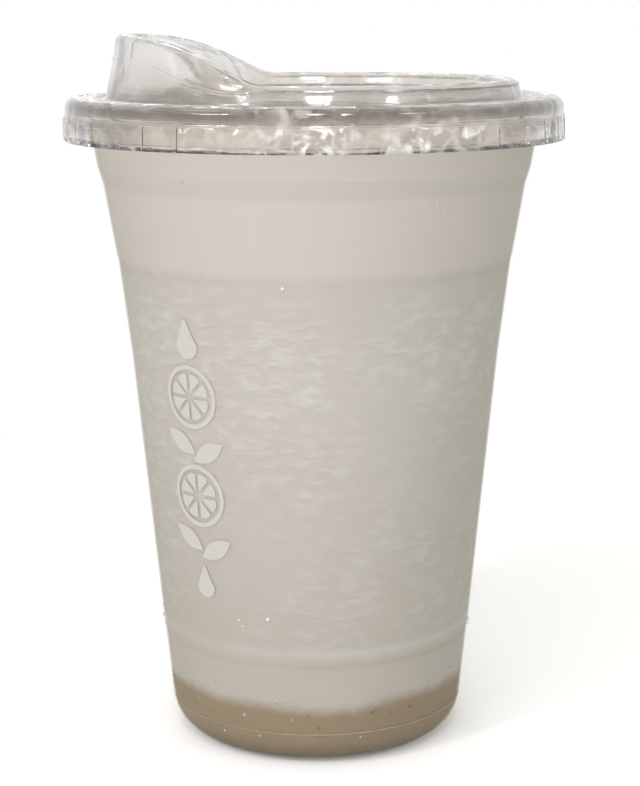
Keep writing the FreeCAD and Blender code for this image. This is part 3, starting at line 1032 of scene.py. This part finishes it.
# %% Ring, spout and deck
def ring_line(turn):
    """(radius, height) from the ring's foot over its bead and down to the deck."""
    left = ring_radius * math.cos(turn)
    inset = ring_radius - abs(ring_radius * math.sin(turn))
    rise = climbing(climb_start, climb_stop, climb_knee, left)
    crease = eased(crease_start, crease_stop, left)
    lean = 4 * crease * (1 - crease) * (1 - eased(crease_start, crease_stop, inset))
    top = flange_level + ring_height + spout_rise * rise
    bend_foot = flange_level + ring_height - ring_bend + crease_rise * crease
    outer = ring_radius - ring_draft - spout_draft * rise
    bend = ring_bend + spout_bend * rise
    rim = outer - bend - lean
    inner = rim - bead_width
    ridge = ridge_size * eased(ridge_start, ridge_stop, left)
    off_fold = abs(from_spout(turn) - fold_turn) / fold_width
    fold = fold_size * crease * max(0.0, 1 - off_fold)

    # the wall, pushed in by the gussets
    points = []
    wall_foot = (ring_radius - 0.05, flange_level + 0.1)
    wall_head = (outer, bend_foot - 0.35)
    for step in range(1, 12):
        radius, height = between(wall_foot, wall_head, step / 12)
        points.append((radius - gusset(turn, height), height))
    # the crease, the bead and the ledge inside it
    points += arc((outer + 0.04, bend_foot - 0.45), (outer + 2 * ridge, bend_foot),
                  (outer - 0.2 - 0.3 * lean + fold, bend_foot + 0.45), 4)
    points += arc((rim + 0.68 * bend + fold, top - 0.85 * bend),
                  (rim + 0.4 * bend, top - 0.02), (rim - 0.4, top), 7)
    points += arc((rim - 0.55, top), (inner + 0.15, top), (inner, top - 0.7), 5)
    # the ramp, and the deck in to the middle
    shelf = (inner - 0.2 - shelf_run * rise, top - shelf_drop - spout_shelf_drop * rise)
    ramp_foot = (inner - 0.9 - ramp_run * rise, flange_level + 0.25)
    middle = between(shelf, ramp_foot, 0.5)
    points += arc((inner - 0.08, top - 0.8), (shelf[0], shelf[1] + 0.1), middle, 10)
    points += arc(between(middle, ramp_foot, 0.05), ramp_foot,
                  (ramp_foot[0] - 1.5 - 2 * rise, ramp_foot[1]), 8)
    return points + [(ramp_foot[0] * share, ramp_foot[1]) for share in (0.5, 0.2, 0)]


plain_section = flange_line() + ring_line(math.pi)
print("lid section:", len(plain_section), "points")

# %% [markdown]
# ## Ribs and uneven panels
#
# Fine ribs round the skirt let it stretch over the roll. Each is well under a
# degree wide, so the columns of vertices stand close at a rib and far apart
# between two. No two ribs of a formed lid are quite alike, and the panels
# between them lean in or out, so chance gives each its size.

# %% Rib columns
ribs = 40
columns = 12
sector = 360 / ribs
rib_half = 0.34
rib_shift = 2.3
rib_random = random.Random(4)
rib_sizes = [rib_random.choice((0.05, 0.09, 0.14, 0.2)) for rib in range(ribs)]
panel_leans = [rib_random.uniform(-0.12, 0.08) for rib in range(ribs)]


def rib_turns():
    """Each column's angle: five close together at a rib, the rest spread out."""
    close = [share * rib_half for share in (-1, -0.5, 0, 0.5, 1)]
    gaps = columns - len(close) + 1
    spread = [rib_half + (sector - 2 * rib_half) * step / gaps for step in range(1, gaps)]
    return [rib * sector + offset for rib in range(ribs) for offset in close + spread]


def rib_height(degrees):
    """How far a column stands out: a rib, or the uneven panel between two."""
    number = int(round(degrees / sector)) % ribs
    away = abs((degrees + sector / 2) % sector - sector / 2)
    rib = max(0.0, 1 - away / rib_half)
    panel = int(degrees % 360 // sector)
    hollow = math.sin(math.pi * (degrees % sector) / sector) ** 2
    return rib_sizes[number] * rib + panel_leans[panel] * hollow


print(ribs, "ribs,", len(rib_turns()), "columns")


# %% Spin and shape the lid
def lid_mesh():
    """Spins the plain section, then moves each column to the section at its angle."""
    bm = bmesh.new()
    level_layer = bm.verts.layers.int.new("level")
    verts = [bm.verts.new((radius * MM, 0, height * MM))
             for radius, height in plain_section]
    for level, vert in enumerate(verts):
        vert[level_layer] = level
    for pair in zip(verts, verts[1:]):
        bm.edges.new(pair)
    steps = ribs * columns
    spin_round(bm, steps)
    turns = rib_turns()
    last = len(plain_section) - 1
    rim_part = flange_line()
    sections = [rim_part + ring_line(math.radians(turn + rib_shift)) for turn in turns]
    for vert in bm.verts:
        level = vert[level_layer]
        if level == last:
            vert.co = (0, 0, plain_section[last][1] * MM)
            continue
        column = round(math.atan2(vert.co.y, vert.co.x) / (2 * math.pi) * steps) % steps
        radius, height = sections[column][level]
        if level in (1, 2, 3):
            radius += rib_height(turns[column])
        turn = math.radians(turns[column] + rib_shift)
        vert.co = Vector((-radius * math.cos(turn), radius * math.sin(turn), height)) * MM
    bmesh.ops.remove_doubles(bm, verts=bm.verts[:], dist=0.005 * MM)
    bmesh.ops.recalc_face_normals(bm, faces=bm.faces[:])
    return bm


lid = finished_piece("sip_lid", lid_mesh(), lid_plastic, "lid")
thickness = lid.modifiers.new("sheet", "SOLIDIFY")
thickness.thickness = lid_sheet * MM
thickness.offset = -1
thickness.use_even_offset = False
# The cut edge takes the opaque grey that paints its dark line.
lid.data.materials.append(edge_plastic)
thickness.material_offset_rim = 1

# %% [markdown]
# ## Holes
#
# The drink comes out of a rounded slot in the top of the spout, and a small
# round hole in the deck lets the air in. A bevelled block and a cylinder cut
# both through the sheet, and the cutter is thrown away.

# %% Shape the cutter
flange = flange_level * MM
slot_size = (5.4 * MM, 13.0 * MM, 12 * MM)
slot_place = (-33.2 * MM, 0, flange + 12 * MM)
slot_corner = 2.6 * MM
air_hole_radius = 1 * MM
air_hole_place = (26 * MM, 0, flange + 0.25 * MM)
bm = bmesh.new()
block = bmesh.ops.create_cube(bm, size=1)["verts"]
bmesh.ops.scale(bm, verts=block, vec=slot_size)
bmesh.ops.translate(bm, verts=block, vec=slot_place)
upright = [edge for edge in bm.edges
           if abs(edge.verts[0].co.z - edge.verts[1].co.z) > 1 * MM]
bmesh.ops.bevel(bm, geom=upright, offset=slot_corner, offset_type="OFFSET",
                affect="EDGES", segments=12, profile=0.5, material=-1)
pin = bmesh.ops.create_cone(bm, cap_ends=True, segments=32, radius1=air_hole_radius,
                            radius2=air_hole_radius, depth=4 * MM)["verts"]
bmesh.ops.translate(bm, verts=pin, vec=air_hole_place)
bmesh.ops.recalc_face_normals(bm, faces=bm.faces[:])
cutter = new_piece("hole_cutter", bm)
print("cutter:", len(cutter.data.polygons), "faces")

# %% Cut the holes
holes = lid.modifiers.new("holes", "BOOLEAN")
holes.operation = "DIFFERENCE"
holes.solver = "EXACT"
holes.object = cutter
bpy.context.view_layer.update()
cut_lid = bpy.data.meshes.new_from_object(
    lid.evaluated_get(bpy.context.evaluated_depsgraph_get()))
lid.modifiers.clear()
lid.data = cut_lid
bpy.data.objects.remove(cutter)
print("lid with holes", len(cut_lid.polygons), "faces")
